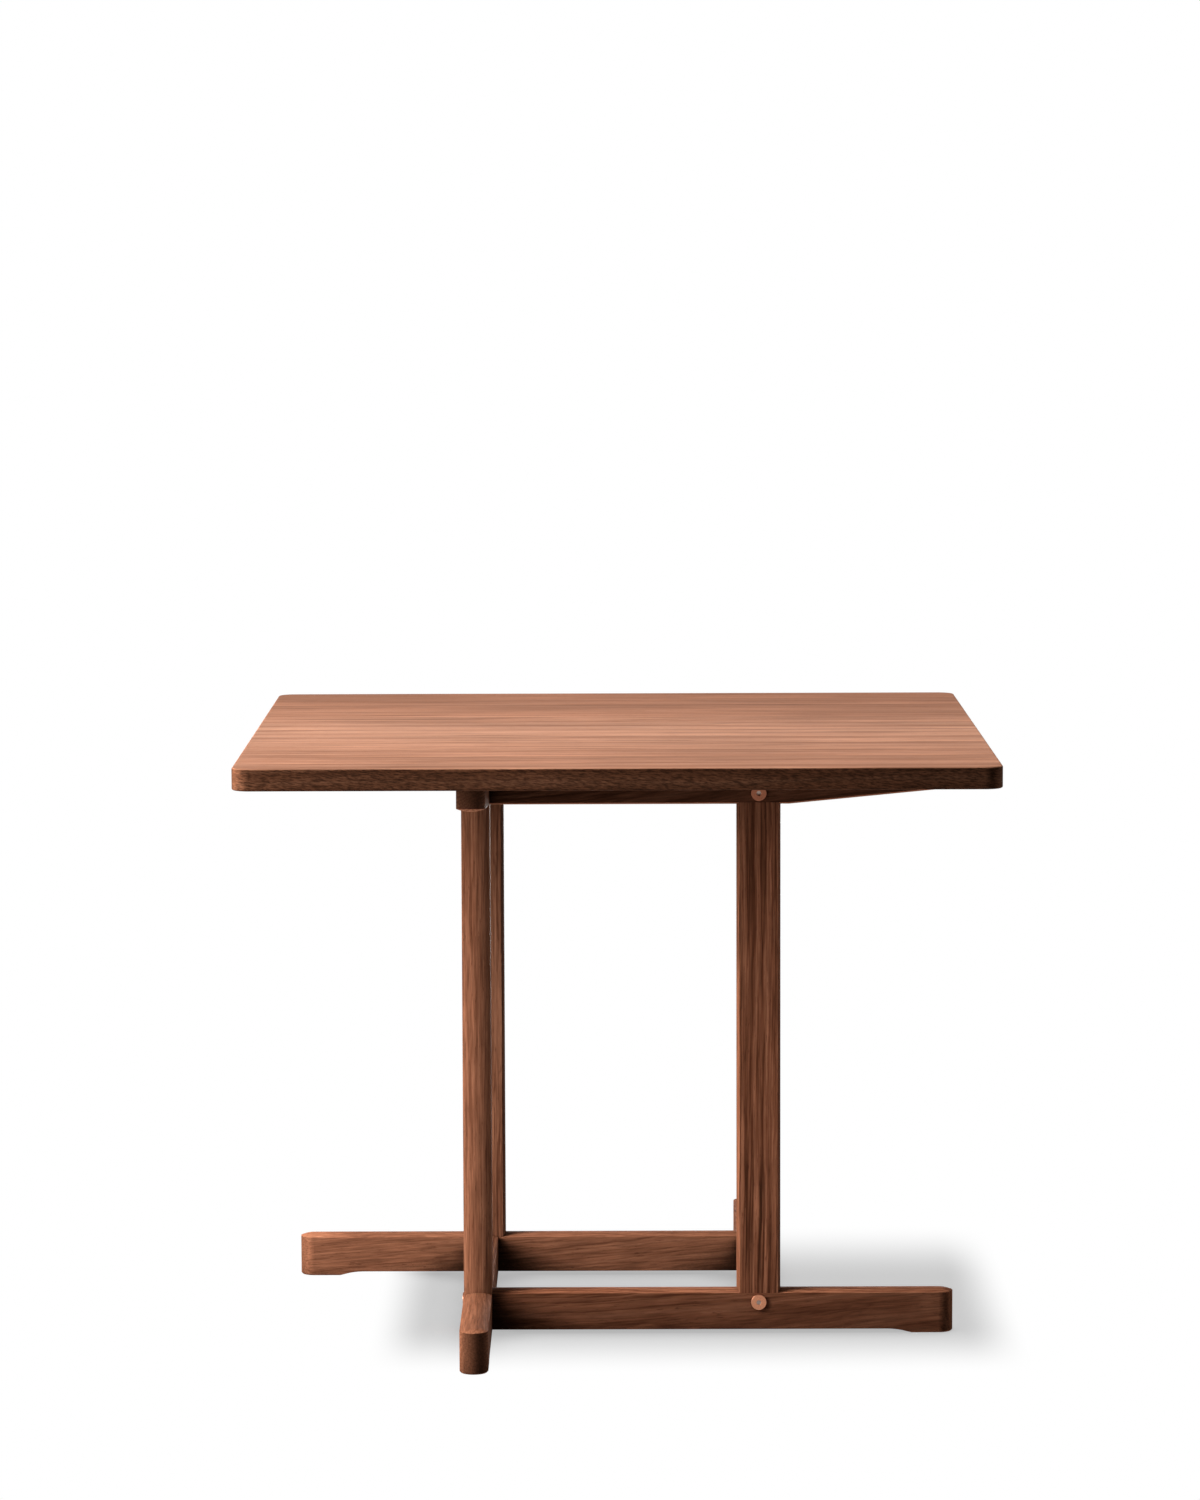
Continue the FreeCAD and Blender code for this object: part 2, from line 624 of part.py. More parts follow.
top_panel = make_panel()
for stave_number in range(1, STAVE_COUNT + 1):
    sub_parts.append(make_stave(top_panel, stave_number))
for frame_place in FRAMES:
    sub_parts.append(make_runner(*frame_place))
    sub_parts.append(make_post(*frame_place))
    sub_parts.append(make_bearer(*frame_place))
sub_parts.append(make_bolts("runner_bolts", LOWER_BOLT_HEIGHT))
sub_parts.append(make_bolts("bearer_bolts", UPPER_BOLT_HEIGHT))
sub_parts.append(make_nuts("runner_barrel_nuts", LOWER_BOLT_HEIGHT))
sub_parts.append(make_nuts("bearer_barrel_nuts", UPPER_BOLT_HEIGHT))
for screw_place, screw_reach in SCREW_REACHES:
    sub_parts.append(make_screws(f"{screw_place}_top_screws", screw_reach))
doc.recompute()

# Nothing is written unless every object is sound and every cut took something away
for item in doc.Objects:
    if "Invalid" in item.State or "Error" in item.State:
        raise RuntimeError(f"{item.Label} failed: {item.State}")
    if item.TypeId in ("PartDesign::Pocket", "PartDesign::Groove"):
        if item.Shape.Volume > item.BaseFeature.Shape.Volume * NO_CUT_SHARE:
            raise RuntimeError(f"{item.Label} cuts nothing")
for part in sub_parts:
    if part.Shape.isNull() or not part.Shape.isValid():
        raise RuntimeError(f"{part.Label} has no sound shape")

os.makedirs("parts", exist_ok=True)
for part in sub_parts:
    part.Shape.exportStep(f"parts/{part.Label}.step")
    print(part.Label, len(part.Shape.Solids), "solids", round(part.Shape.Volume), "mm3")
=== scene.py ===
"""Looks of the square dining table: oiled reddish-brown hardwood with copper-coloured bolts.

The wood is a solid texture: growth layers, pores and tone run through each piece along its own grain, so
long faces, edges and end grain belong together. Metres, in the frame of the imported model.
"""
import math

import bmesh
import bpy
from mathutils import Matrix, Vector


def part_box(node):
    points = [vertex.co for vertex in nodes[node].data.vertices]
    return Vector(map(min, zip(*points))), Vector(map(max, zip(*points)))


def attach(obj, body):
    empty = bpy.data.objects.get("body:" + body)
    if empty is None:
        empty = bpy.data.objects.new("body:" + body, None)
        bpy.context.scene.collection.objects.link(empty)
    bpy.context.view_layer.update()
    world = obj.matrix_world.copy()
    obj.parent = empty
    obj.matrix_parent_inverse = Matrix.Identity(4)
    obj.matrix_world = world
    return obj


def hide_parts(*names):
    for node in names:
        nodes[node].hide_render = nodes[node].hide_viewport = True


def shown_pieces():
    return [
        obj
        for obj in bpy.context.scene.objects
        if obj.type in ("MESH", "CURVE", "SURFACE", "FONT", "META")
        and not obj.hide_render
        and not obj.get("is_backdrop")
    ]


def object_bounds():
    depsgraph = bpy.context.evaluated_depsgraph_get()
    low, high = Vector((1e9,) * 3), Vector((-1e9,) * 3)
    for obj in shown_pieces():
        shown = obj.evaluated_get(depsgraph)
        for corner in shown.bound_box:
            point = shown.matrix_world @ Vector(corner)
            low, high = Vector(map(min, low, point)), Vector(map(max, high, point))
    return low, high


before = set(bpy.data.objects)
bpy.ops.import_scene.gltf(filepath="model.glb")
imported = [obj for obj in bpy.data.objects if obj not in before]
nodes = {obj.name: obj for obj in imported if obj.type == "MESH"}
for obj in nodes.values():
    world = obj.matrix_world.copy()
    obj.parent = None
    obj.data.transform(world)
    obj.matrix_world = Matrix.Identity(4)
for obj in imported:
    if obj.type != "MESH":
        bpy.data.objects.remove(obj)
cad_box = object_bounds()
MM = 0.001
WHITE = (1.0, 1.0, 1.0, 1.0)

# Camera, fitted to the photograph's straight edges
CAMERA_PLACE = Vector((-6.6, -6021.1, 1315.5)) * MM
CAMERA_PITCH = math.radians(6.186)
CAMERA_YAW = math.radians(0.125)
CAMERA_ROLL = math.radians(0.19)
CAMERA_LENS = 122.81
FILM_HEIGHT = 36.0
CAMERA_REACH = 100.0

# Light: shares of the light that falls on a level surface in the open
OVERHEAD_TOWARDS = Vector((-0.133, -0.058, 1.0))
OVERHEAD_SHARE = 0.6
OVERHEAD_SOFTNESS = math.radians(4)
BELOW_TOWARDS = Vector((0.0, 0.0, -1.0))
BELOW_SHARE = 0.42
BELOW_SOFTNESS = math.radians(50)
SKY_SHARE = 0.06

# Soft boxes: place, size and share; key and side stand at the left, and weak low ones all round
LAMP_AIM = Vector((0.0, 0.0, 0.35))
SOFT_BOXES = {
    "key": (Vector((-2.35, -1.1, 2.3)), 1.0, 0.42),
    "side": (Vector((-2.65, -0.8, 1.3)), 0.9, 1.08),
    "fill": (Vector((-2.6, -1.5, 0.5)), 1.0, 0.28),
    "back": (Vector((0.3, 2.8, 0.2)), 0.8, 0.3),
    "right": (Vector((2.6, 1.0, 0.2)), 0.8, 0.1),
}

# Floor, its painted shade close to the feet, and the samples for that shade and for the painted shade in the
# wood's inner corners
FLOOR_SIZE = 60.0
FLOOR_GAP = 0.2 * MM
FLOOR_REFLECTION = 0.58
FLOOR_GLOW = 0.56
FLOOR_BOUNCE = 0.1
CONTACT_REACH = 60 * MM
CONTACT_OPENNESS = (0.25, 0.9)
CONTACT_SHADE = 0.7
SHADE_SAMPLES = 8

# Where the shadow on the floor is painted out to white, from nothing to whole, left to right and front to
# back
SHADOW_LEFT = (-0.29, -0.22)
SHADOW_RIGHT = (0.475, 0.4)
SHADOW_FRONT = (-0.385, -0.13)
SHADOW_BACK = (0.45, 0.12)

# Tones as written colours, red, green and blue from 0 to 255; wood has a dark, a middle and a light one
DEEP_WOOD = ((108, 62, 42), (158, 98, 70), (184, 120, 89))
MIDDLE_WOOD = ((112, 66, 46), (162, 104, 76), (188, 126, 95))
WARM_WOOD = ((121, 78, 57), (167, 115, 89), (188, 135, 109))
PALE_WOOD = ((122, 82, 62), (169, 122, 98), (190, 145, 120))
PORE_TONE = (70, 37, 24)
COPPER_TONE = (194, 131, 100)
# Darker copper for the bolts under the top is painted shade
SHADED_COPPER_TONE = (140, 87, 65)
SOCKET_TONE = (150, 132, 122)
STEEL_TONE = (178, 178, 182)

# Sockets of a mix node for colours: share, first and second colour, and the one between them
COLOUR_MIX_INPUTS = (0, 6, 7)
COLOUR_MIX_OUTPUT = 2


def linear(tone):
    """Scene colour of a written one."""
    shares = [channel / 255 for channel in tone]
    return tuple(c / 12.92 if c <= 0.04045 else ((c + 0.055) / 1.055) ** 2.4 for c in shares) + (1.0,)


def grey(share):
    """Scene colour that throws back a share of the light."""
    return (share, share, share, 1.0)


def mixed_tones(first, second, share):
    """Tones between two sets of them."""
    return [[a + (b - a) * share for a, b in zip(*pair)] for pair in zip(first, second)]


class Tree:
    """Short way to write the nodes of a material or of the sky."""

    def __init__(self, tree):
        self.tree = tree
        tree.nodes.clear()

    def add(self, kind, settings=None, **inputs):
        """New node; settings are its properties, inputs its sockets by name with spaces as underscores."""
        node = self.tree.nodes.new(kind)
        for name, value in (settings or {}).items():
            setattr(node, name, value)
        for name, value in inputs.items():
            self.feed(node.inputs[name.replace("_", " ")], value)
        return node

    def feed(self, socket, value):
        """Link a socket to another node's output, or set its value."""
        if isinstance(value, bpy.types.NodeSocket):
            self.tree.links.new(value, socket)
        else:
            socket.default_value = value

    def math(self, operation, *values):
        """Sum, product or the like of up to three values."""
        node = self.add("ShaderNodeMath", {"operation": operation})
        for socket, value in zip(node.inputs, values):
            self.feed(socket, value)
        return node.outputs[0]

    def product(self, first, *others):
        """All the values multiplied."""
        result = first
        for value in others:
            result = self.math("MULTIPLY", result, value)
        return result

    def vector(self, operation, *values):
        """Sum, product or the like of vectors."""
        node = self.add("ShaderNodeVectorMath", {"operation": operation})
        for socket, value in zip(node.inputs, values):
            self.feed(socket, value)
        return node.outputs["Value" if operation in ("LENGTH", "DOT_PRODUCT") else "Vector"]

    def noise(self, place, spread, texture, output="Fac"):
        """Noise in space: spread counts features per metre on each axis, texture is detail and roughness."""
        detail, rough = texture
        stretched = self.vector("MULTIPLY", place, spread)
        node = self.add("ShaderNodeTexNoise", Vector=stretched, Scale=1.0, Detail=detail, Roughness=rough)
        return node.outputs[output]

    def line_noise(self, place, count, texture):
        """Noise along one measure, with count features per metre."""
        detail, rough = texture
        node = self.add("ShaderNodeTexNoise", {"noise_dimensions": "1D"},
                        W=place, Scale=count, Detail=detail, Roughness=rough)
        return node.outputs["Fac"]

    def ramp(self, value, low, high, out_low=0.0, out_high=1.0):
        """Smooth step of a value from one range to another."""
        node = self.add("ShaderNodeMapRange", {"interpolation_type": "SMOOTHSTEP"}, Value=value,
                        From_Min=low, From_Max=high, To_Min=out_low, To_Max=out_high)
        return node.outputs[0]

    def mix(self, share, first, second, blend="MIX"):
        """Colour between two others; share 1 gives the second."""
        node = self.add("ShaderNodeMix", {"data_type": "RGBA", "blend_type": blend})
        for index, value in zip(COLOUR_MIX_INPUTS, (share, first, second)):
            self.feed(node.inputs[index], value)
        return node.outputs[COLOUR_MIX_OUTPUT]

    def mix_shaders(self, share, first, second):
        """Shader between two others; share 1 gives the second."""
        node = self.add("ShaderNodeMixShader")
        for socket, value in zip(node.inputs, (share, first, second)):
            self.feed(socket, value)
        return node.outputs[0]

    def finish(self, shader, kind="ShaderNodeOutputMaterial"):
        """Use a shader for the surface; the sky has its own kind of output."""
        self.add(kind, Surface=shader)


def new_material(name):
    """Empty material and its nodes."""
    material = bpy.data.materials.new(name)
    material.use_nodes = True
    return material, Tree(material.node_tree)


def seen_directly(tree):
    """1 for what the camera, a mirror or glass sees, 0 for light that spreads."""
    path = tree.add("ShaderNodeLightPath")
    seen = tree.math("MAXIMUM", path.outputs["Is Camera Ray"], path.outputs["Is Glossy Ray"])
    return tree.math("MAXIMUM", seen, path.outputs["Is Transmission Ray"])


def put(node_name, material):
    """Give a CAD node a material in place of its plain one."""
    slots = nodes[node_name].data.materials
    slots.clear()
    slots.append(material)


# Wood

GRAIN_ORDER = {"X": "XYZ", "Y": "YXZ", "Z": "ZXY"}
GRAIN_NORMAL = {"X": (1, 0, 0), "Y": (0, 1, 0), "Z": (0, 0, 1)}
SEED_STEP = 3.17
RING_SEED_STEP = 0.731

# Textures of noise: its detail and roughness
SOFT = (2.0, 0.5)
MIXED = (3.0, 0.5)
OPEN = (2.0, 0.6)
FINE = (3.0, 0.6)
CRISP = (3.0, 0.65)

# Counts of features per metre, along the grain and twice across it. VEIN_LENGTH is a count along the grain
# alone, and DASH_SLANT a slope.
WANDER_SPREAD = (1.6, 7.0, 7.0)
RIPPLE_SPREAD = (14.0, 60.0, 60.0)
STRETCH_SPREAD = (5.0, 25.0, 25.0)
FIBRE_SPREAD = (22.0, 520.0, 520.0)
PORE_SPREAD = (70.0, 900.0, 900.0)
BLOTCH_SPREAD = (4.0, 9.0, 9.0)
DASH_SPREAD = (140.0, 140.0, 800.0)
VEIN_LENGTH = 1.2
DASH_SLANT = 0.12

# Noise lies round its middle, from 0 to 1. A span is the part of it over which a feature changes, and layers
# change within a reach on either side of the middle.
NOISE_MIDDLE = 0.5
NOISE_SPAN = (0.25, 0.75)
ROUGH_SPAN = (0.2, 0.8)
DASH_SPAN = (0.35, 0.65)
VEIN_SPAN = (0.44, 0.6)
PORE_SPAN = (0.6, 0.74)
LAYER_REACH = 0.17

# How far a face has turned to the end of the grain, from 0 to 1, or up and down, from 1 to -1, while a
# feature changes. END_FIGURE_SHARE is what is left of the layers' contrast on end grain.
END_FIGURE_TURN = (0.4, 0.8)
END_FIGURE_SHARE = 0.35
END_TURN = (0.3, 0.85)
END_FACE_TURN = (0.75, 1.0)
END_DASH_TURN = (0.3, 0.9)
UP_TURN = (0.3, 0.8)
FLAT_UNDER_TURN = (-0.92, -0.99)
PAINTED_UNDER_LIGHT_TURN = (-0.15, -0.6)
UNDER_CORNER_TURN = (-0.3, -0.8)

# Painted shade in inner corners, and the oiled surface
CORNER_REACH = 110 * MM
CORNER_OPENNESS = (0.33, 0.6)
CORNER_SHADE = 0.05
BOUNCE_SHARE = 0.8
MIDDLE_STOP = 0.5
ROUGH_STEP = 0.14
ARRIS_EASE = 0.6 * MM
RELIEF_STRENGTH = 0.35
RELIEF_DEPTH = 0.3 * MM
FIBRE_HEIGHT = 0.35

# How the wood of the top and of the frames is cut and finished. layers, threads, streak_length, streak_count
# and vein_count are counts per metre. wander and ripple are metres that a layer strays, and slope is the rise
# of the grain. lean and edge_lean are the shares of painted light and shade at the two ends of the frame.
# edge_shade paints shade on upright long-grain faces and edge_tint deepens their colour with it, end_shade is
# the tone of end grain, and the share for downward faces paints light on them. The rest are shares.
TOP_CUT = {
    "layers": 85.0, "threads": 330.0, "thread_share": 0.6, "contrast": 0.5, "wander": 0.04, "ripple": 0.002,
    "figure": 0.85, "streaks": 0.5, "streak_length": 4.0, "streak_count": 240.0,
    "veins": 0.2, "vein_count": 40.0, "vein_width": 0.045,
    "fibres": 0.12, "pores": 0.42, "rough": 0.56, "gloss": 0.015, "edge_shade": 0.285, "end_shade": 0.47,
    "edge_tint": (1.0, 0.84, 0.7), "dashes": 0.5, "lean": (0.96, 0.97), "edge_lean": (1.06, 0.66),
    "end_face": 0.62, "slope": 0.0, "blotches": 0.15, "painted_under_light": 1.0,
}
BAR_CUT = {
    "layers": 40.0, "threads": 420.0, "thread_share": 0.7, "contrast": 0.65, "wander": 0.04, "ripple": 0.003,
    "figure": 0.85, "streaks": 0.5, "streak_length": 14.0, "streak_count": 360.0,
    "veins": 0.1, "vein_count": 80.0, "vein_width": 0.05,
    "fibres": 0.28, "pores": 0.6, "rough": 0.6, "gloss": 0.012, "edge_shade": 0.84, "end_shade": 0.64,
    "edge_tint": (1.0, 1.0, 1.0), "dashes": 0.0, "lean": (1.0, 1.0), "edge_lean": (1.0, 1.0),
    "end_face": 1.0, "slope": 0.08, "blotches": 0.1, "painted_under_light": 1.0,
}
POST_CUT = dict(
    BAR_CUT, contrast=0.95, figure=0.9, streaks=0.8, streak_length=5.0, streak_count=300.0, wander=0.018,
    ripple=0.002, veins=0.55, vein_count=120.0, slope=0.0, blotches=0.06,
)
# Bearers get painted light on their downward faces
MEMBER_CUTS = {"runner": BAR_CUT, "post": POST_CUT, "bearer": dict(BAR_CUT, painted_under_light=2.2)}
PIECE_CUTS = {
    "front_runner": dict(BAR_CUT, edge_shade=0.58, end_shade=1.05),
    "left_runner": dict(BAR_CUT, contrast=0.36, veins=0.0, end_shade=0.42, slope=0.0),
    "back_runner": dict(BAR_CUT, contrast=0.38, fibres=0.34, veins=0.05, end_shade=0.56),
    # Posts darken towards their tops: painted shade under the top
    "left_post": dict(POST_CUT, contrast=0.55, figure=0.5, streak_length=9.0, veins=0.15, lean=(1.0, 0.84)),
    "back_post": dict(POST_CUT, lean=(1.36, 0.58)),
}

# Tone of each board of the top, from the front edge to the back, and how pale its wood is
STAVE_TONES = [1.04, 1.12, 1.18, 1.24, 1.31, 1.36, 1.31, 1.19, 1.09, 1.02, 0.97, 0.93]
STAVE_PALENESS = [0.4, 0.4, 0.5, 0.7, 0.9, 1.0, 0.9, 0.6, 0.3, 0.2, 0.1, 0.0]
STAVE_FADE = (1.07, 0.94)

# Grain, wood and tones of the four frames; the bearers' low tones are painted shade under the top
FRAME_AXIS = {"front": "X", "left": "Y", "back": "X", "right": "Y"}
FRAME_WOOD = {"front": DEEP_WOOD, "left": MIDDLE_WOOD, "back": MIDDLE_WOOD, "right": DEEP_WOOD}
MEMBER_TONES = {
    "runner": {"front": 1.14, "left": 1.0, "back": 1.14, "right": 1.1},
    "post": {"front": 1.14, "left": 1.26, "back": 0.72, "right": 1.05},
    "bearer": {"front": 0.56, "left": 0.6, "back": 0.7, "right": 0.7},
}
MEMBER_SEEDS = {"runner": 20, "post": 30, "bearer": 40}

# Where the tree's middle lies: beside and below a board, by turns deeper, or off the middle of a post or bar
STAVE_PITH_SIDE = 60 * MM
STAVE_PITH_DEPTH = 50 * MM
STAVE_PITH_STEP = 20 * MM
STAVE_PITH_TURNS = 3
POST_PITH = (30 * MM, 60 * MM)
BAR_PITH = (50 * MM, -30 * MM)


class Grain:
    """Places and directions in one piece of wood, as outputs of its material's nodes."""

    def __init__(self, tree, cut, axis, seed):
        """axis is the one the wood grows along, and seed moves the piece to another place in the tree."""
        self.tree = tree
        self.cut = cut
        self.seed = seed
        coordinates = tree.add("ShaderNodeTexCoord")
        split = tree.add("ShaderNodeSeparateXYZ", Vector=coordinates.outputs["Object"])
        self.along, self.across, self.up = (split.outputs[name] for name in GRAIN_ORDER[axis])
        risen = tree.math("MULTIPLY_ADD", self.along, -cut["slope"], self.up)
        local = tree.add("ShaderNodeCombineXYZ", X=self.along, Y=self.across, Z=risen).outputs[0]
        self.local = tree.vector("ADD", local, (seed * SEED_STEP, 0.0, 0.0))
        self.bent = self.local
        self.bend(WANDER_SPREAD, SOFT, cut["wander"])
        self.bend(RIPPLE_SPREAD, MIXED, cut["ripple"])
        normal = coordinates.outputs["Normal"]
        self.ends = tree.math("ABSOLUTE", tree.vector("DOT_PRODUCT", normal, GRAIN_NORMAL[axis]))
        self.facing = tree.add("ShaderNodeSeparateXYZ", Vector=normal).outputs["Z"]
        self.frame_ends = [corner["XYZ".index(axis)] for corner in cad_box]

    def bend(self, spread, texture, reach):
        """Let the grain stray sideways by a reach in metres."""
        tree = self.tree
        stray = tree.noise(self.local, spread, texture, "Color")
        stray = tree.vector("SUBTRACT", stray, (NOISE_MIDDLE, NOISE_MIDDLE, NOISE_MIDDLE))
        self.bent = tree.vector("ADD", self.bent, tree.vector("MULTIPLY", stray, (0.0, reach, reach)))

    def lengthwise(self, shares):
        """Painted light and shade that goes from one share to another over the length of the frame."""
        return self.tree.ramp(self.along, *self.frame_ends, *shares)


def layer_depth(grain, pith):
    """How light a layer is, from 0 to 1. Layers lie round the pith, and streaks run along them."""
    tree, cut = grain.tree, grain.cut
    from_pith = tree.vector("SUBTRACT", grain.bent, (0.0, *pith))
    flat = tree.vector("MULTIPLY", from_pith, (0.0, 1.0, 1.0))
    radius = tree.math("ADD", tree.vector("LENGTH", flat), grain.seed * RING_SEED_STEP)
    layers = tree.math("MULTIPLY", tree.line_noise(radius, cut["layers"], SOFT), 1 - cut["thread_share"])
    threads = tree.line_noise(radius, cut["threads"], CRISP)
    layers = tree.math("MULTIPLY_ADD", threads, cut["thread_share"], layers)
    figure = tree.math("MULTIPLY", tree.math("SUBTRACT", layers, NOISE_MIDDLE), cut["figure"])
    streak_spread = (cut["streak_length"], cut["streak_count"], cut["streak_count"])
    streaks = tree.math("SUBTRACT", tree.noise(grain.bent, streak_spread, FINE), NOISE_MIDDLE)
    figure = tree.math("MULTIPLY_ADD", streaks, cut["streaks"], figure)
    figure = tree.math("MULTIPLY", figure, tree.ramp(grain.ends, *END_FIGURE_TURN, 1.0, END_FIGURE_SHARE))
    reach = LAYER_REACH / cut["contrast"]
    return tree.ramp(figure, -reach, reach)


def layer_colour(tree, depth, tones):
    """Colour of a layer between the dark, middle and light tones."""
    ramp = tree.add("ShaderNodeValToRGB", Fac=depth)
    stops = ramp.color_ramp.elements
    stops.new(MIDDLE_STOP)
    for stop, tone in zip(stops, tones):
        stop.color = linear(tone)
    return ramp.outputs["Color"]


def vein_shade(grain):
    """Dark veins that follow the grain and come and go along it."""
    tree, cut = grain.tree, grain.cut
    vein_spread = (VEIN_LENGTH, cut["vein_count"], cut["vein_count"])
    course = tree.math("SUBTRACT", tree.noise(grain.bent, vein_spread, SOFT), NOISE_MIDDLE)
    core = tree.ramp(tree.math("ABSOLUTE", course), 0.0, cut["vein_width"], 1.0, 0.0)
    stretch = tree.ramp(tree.noise(grain.local, STRETCH_SPREAD, SOFT), *VEIN_SPAN)
    return tree.ramp(tree.math("MULTIPLY", core, stretch), 0.0, 1.0, 1.0, 1.0 - cut["veins"])


def dash_shade(grain):
    """Short dark dashes that slant along the edges of a board."""
    tree, cut = grain.tree, grain.cut
    slant = tree.math("MULTIPLY_ADD", grain.along, DASH_SLANT, grain.up)
    place = tree.add("ShaderNodeCombineXYZ", X=grain.along, Y=grain.across, Z=slant).outputs[0]
    dashes = tree.noise(place, DASH_SPREAD, CRISP)
    dark = tree.ramp(dashes, *DASH_SPAN, 1.0 + cut["dashes"], 1.0 - cut["dashes"])
    return tree.math("MAXIMUM", dark, tree.ramp(grain.ends, *END_DASH_TURN))


def edge_shade(grain, level):
    """End grain drinks more oil and goes darker, and upright long-grain faces get painted shade that changes
    along the frame; level is 1 on faces that lie flat.
    """
    tree, cut = grain.tree, grain.cut
    end_face = tree.ramp(grain.ends, *END_FACE_TURN, 1.0, cut["end_face"])
    end = tree.math("MULTIPLY", tree.ramp(grain.ends, *END_TURN), end_face)
    long_side = tree.ramp(grain.ends, *END_TURN, 1.0, 0.0)
    long_side = tree.product(long_side, cut["edge_shade"], grain.lengthwise(cut["edge_lean"]))
    edge = tree.math("MULTIPLY_ADD", end, cut["end_shade"], long_side)
    if cut["dashes"]:
        edge = tree.math("MULTIPLY", dash_shade(grain), edge)
    return tree.math("MULTIPLY_ADD", tree.math("SUBTRACT", 1.0, level), edge, level)


def corner_shade(grain):
    """Painted shade in inner corners, left off undersides."""
    tree = grain.tree
    corner = tree.add("ShaderNodeAmbientOcclusion", {"samples": SHADE_SAMPLES}, Distance=CORNER_REACH)
    painted_corner_shade = tree.ramp(corner.outputs["AO"], *CORNER_OPENNESS, CORNER_SHADE, 1.0)
    return tree.math("MAXIMUM", painted_corner_shade, tree.ramp(grain.facing, *UNDER_CORNER_TURN))


def wood(name, cut, tones, axis, seed, pith, tone, fade=None):
    """Oiled wood of one piece.

    tones are the colours of its dark, middle and light layers. axis is the one the wood grows along, pith the
    place of the tree's middle across the grain, in metres from the frame's middle, and seed moves the piece
    to another place in the tree. tone lightens or darkens the piece. fade is two places across the grain and
    the shares of light at them.
    """
    material, tree = new_material(name)
    grain = Grain(tree, cut, axis, seed)
    fibres = tree.noise(grain.bent, FIBRE_SPREAD, FINE)
    pores = tree.ramp(tree.noise(grain.bent, PORE_SPREAD, OPEN), *PORE_SPAN)
    blotches = tree.noise(grain.local, BLOTCH_SPREAD, SOFT)
    flat_under = tree.ramp(grain.facing, *FLAT_UNDER_TURN)
    level = tree.math("MAXIMUM", tree.ramp(grain.facing, *UP_TURN), flat_under)

    # Shade of all that lies over the layers, with painted shade on upright faces and in inner corners and
    # painted light on downward faces, then their colour with it, and the pores
    shade = tree.product(
        tone,
        tree.ramp(blotches, *NOISE_SPAN, 1.0 - cut["blotches"], 1.0 + cut["blotches"]),
        vein_shade(grain),
        tree.ramp(fibres, *NOISE_SPAN, 1.0 - cut["fibres"], 1.0 + cut["fibres"]),
        grain.lengthwise(cut["lean"]),
        edge_shade(grain, level),
        # Painted light on downward faces
        tree.ramp(grain.facing, *PAINTED_UNDER_LIGHT_TURN, 1.0, cut["painted_under_light"]),
        corner_shade(grain),
    )
    if fade:
        shade = tree.math("MULTIPLY", shade, tree.ramp(grain.across, *fade))
    colour = layer_colour(tree, layer_depth(grain, pith), tones)
    # Upright faces get a deeper colour along with their painted shade
    tint = tree.mix(level, (*cut["edge_tint"], 1.0), WHITE)
    colour = tree.mix(1.0, tree.vector("MULTIPLY", colour, shade), tint, "MULTIPLY")
    colour = tree.mix(tree.math("MULTIPLY", pores, cut["pores"]), colour, linear(PORE_TONE))

    # Light that the wood throws on to other things is plain
    brightness = tree.add("ShaderNodeRGBToBW", Color=colour).outputs[0]
    plain = tree.math("MULTIPLY", brightness, BOUNCE_SHARE)
    colour = tree.mix(seen_directly(tree), plain, colour)

    # Oiled satin, with open pores and eased arrises
    rough = tree.ramp(fibres, *ROUGH_SPAN, cut["rough"], cut["rough"] + ROUGH_STEP)
    height = tree.math("SUBTRACT", tree.math("MULTIPLY", fibres, FIBRE_HEIGHT), pores)
    eased = tree.add("ShaderNodeBevel", Radius=ARRIS_EASE).outputs[0]
    relief = tree.add("ShaderNodeBump", Strength=RELIEF_STRENGTH, Distance=RELIEF_DEPTH,
                      Height=height, Normal=eased).outputs[0]
    shader = tree.add("ShaderNodeBsdfPrincipled", Base_Color=colour, Roughness=rough, Normal=relief,
                      Specular_IOR_Level=cut["gloss"])
    tree.finish(shader.outputs[0])
    return material


def dress_top():
    """Boards of the top, cut left and right of the tree's middle by turns."""
    for number, (tone, paleness) in enumerate(zip(STAVE_TONES, STAVE_PALENESS), start=1):
        node_name = f"top_stave_{number:02d}"
        low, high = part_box(node_name)
        side = -STAVE_PITH_SIDE if number % 2 else STAVE_PITH_SIDE
        depth = STAVE_PITH_DEPTH + STAVE_PITH_STEP * (number % STAVE_PITH_TURNS)
        pith = ((low.y + high.y) / 2 + side, low.z - depth)
        tones = mixed_tones(WARM_WOOD, PALE_WOOD, paleness)
        fade = (low.y, high.y, *STAVE_FADE)
        put(node_name, wood(f"wood_{node_name}", TOP_CUT, tones, "X", number, pith, tone, fade))


def dress_frames():
    """Runner, post and bearer of the four frames, each with its grain along it."""
    for order, side_name in enumerate(FRAME_AXIS):
        for member, member_tones in MEMBER_TONES.items():
            node_name = f"{side_name}_{member}"
            low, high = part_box(node_name)
            centre = (low + high) / 2
            if member == "post":
                axis = "Z"
                pith = (centre.x + POST_PITH[0], centre.y + POST_PITH[1])
            else:
                axis = FRAME_AXIS[side_name]
                middle = centre.y if axis == "X" else centre.x
                pith = (middle + BAR_PITH[0], centre.z + BAR_PITH[1])
            cut = PIECE_CUTS.get(node_name, MEMBER_CUTS[member])
            seed = MEMBER_SEEDS[member] + order
            tone = member_tones[side_name]
            put(node_name, wood(f"wood_{node_name}", cut, FRAME_WOOD[side_name], axis, seed, pith, tone))


dress_top()
dress_frames()


# Metal, with tool marks counted per metre

MARK_SPREAD = (900.0, 900.0, 900.0)
MARK_SPAN = (0.3, 0.7)
MARK_SHADE = 0.86
MARK_STRENGTH = 0.2
MARK_DEPTH = 0.1 * MM
COPPER_ROUGH = 0.3
SOCKET_ROUGH = 0.25
STEEL_ROUGH = 0.35


